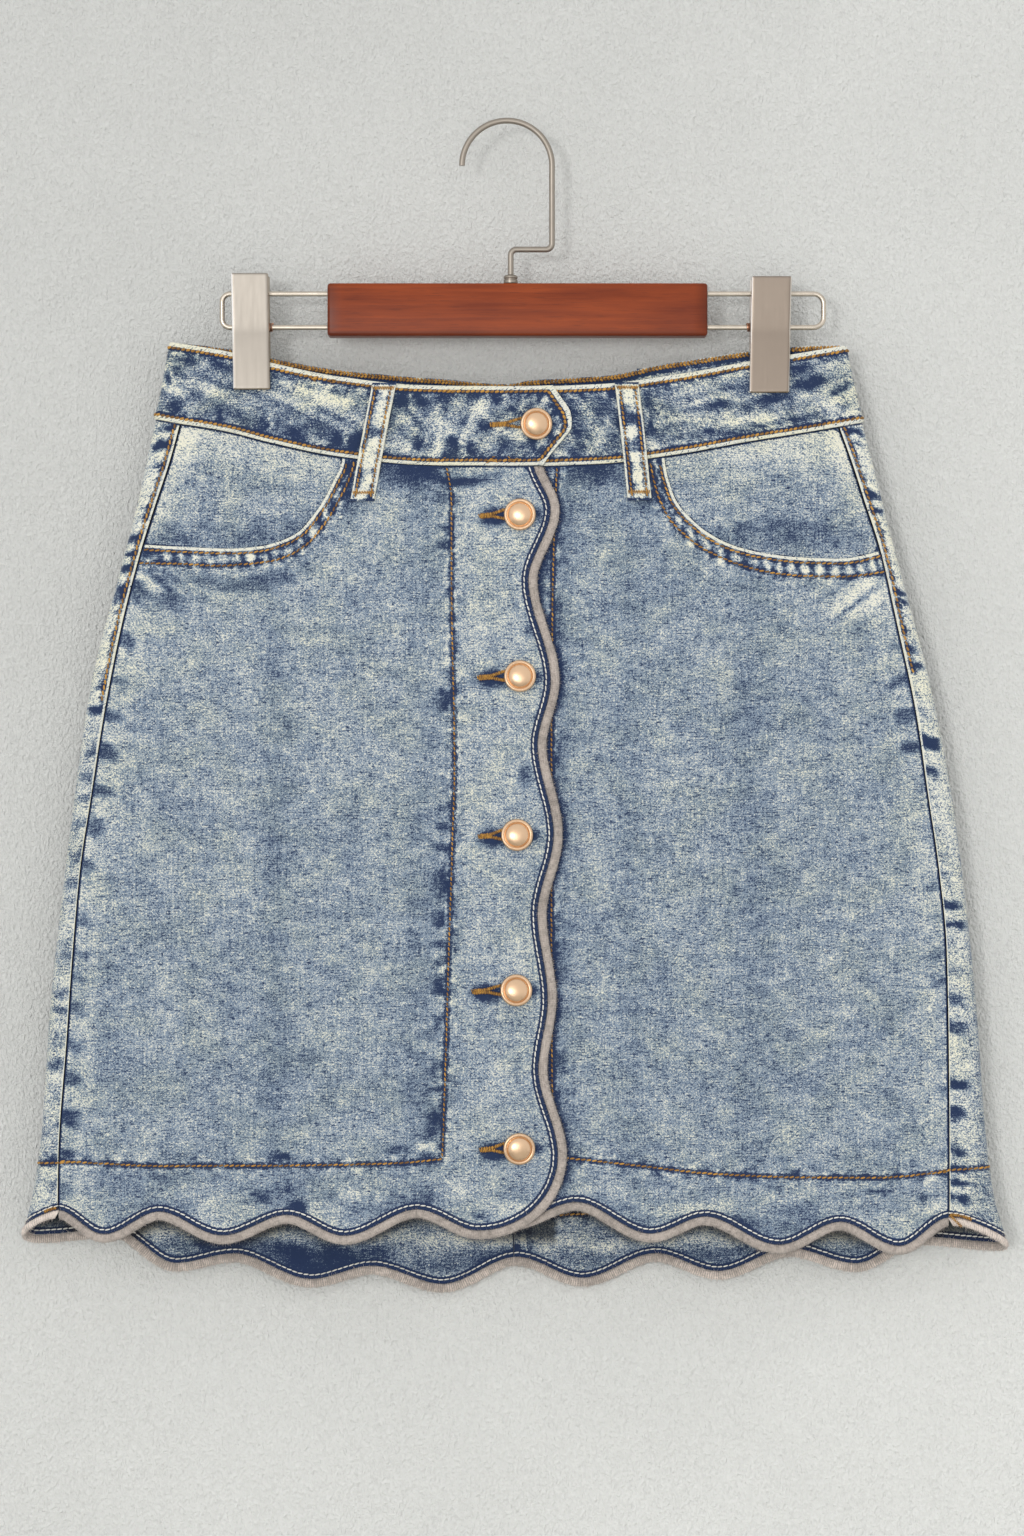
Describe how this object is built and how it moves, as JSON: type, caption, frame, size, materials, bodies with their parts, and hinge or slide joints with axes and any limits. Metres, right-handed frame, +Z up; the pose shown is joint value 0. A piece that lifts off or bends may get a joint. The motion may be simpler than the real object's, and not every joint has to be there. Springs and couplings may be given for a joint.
{
  "type": "denim skirt on a clip hanger",
  "caption": "Short denim skirt with scalloped plush-edged hem and button front, held flat by a wooden hanger with two metal clips.",
  "frame": {"origin": "where a rod carries the hanger: the middle of the underside of the hook's crown", "axes": "+Z up, the skirt's front faces -Y, +X to the viewer's right in a front view (the wearer's left)"},
  "size_m": [0.5326, 0.0464, 0.6365],
  "materials": {
    "denim": "acid-washed cotton denim, matt",
    "denim_dark": "less faded cotton denim, matt",
    "plush_trim": "short warm grey plush",
    "button_metal": "polished, rose-gold plated",
    "hanger_wood": "satin varnish, red-brown",
    "hanger_metal": "satin nickel plate"
  },
  "bodies": {
    "root": {"front_right": "denim", "front_left": "denim", "back_right": "denim", "back_left": "denim", "pocket_facing_right": "denim_dark", "pocket_facing_left": "denim_dark", "waistband_right": "denim", "waistband_left": "denim", "belt_loop_front_right": "denim", "belt_loop_front_left": "denim", "belt_loop_back_right": "denim", "belt_loop_back_centre": "denim", "belt_loop_back_left": "denim", "button_1": "button_metal", "button_2": "button_metal", "button_3": "button_metal", "button_4": "button_metal", "button_5": "button_metal", "button_6": "button_metal", "trim_front_right": "plush_trim", "trim_front_left": "plush_trim", "trim_back": "plush_trim", "hanger_bar": "hanger_wood", "hanger_hook": "hanger_metal", "hook_collar": "hanger_metal", "rail_left": "hanger_metal", "rail_right": "hanger_metal", "clip_left_front": "hanger_metal", "clip_left_back": "hanger_metal", "clip_left_spring": "hanger_metal", "clip_right_front": "hanger_metal", "clip_right_back": "hanger_metal", "clip_right_spring": "hanger_metal"}
  },
  "joints": []
}
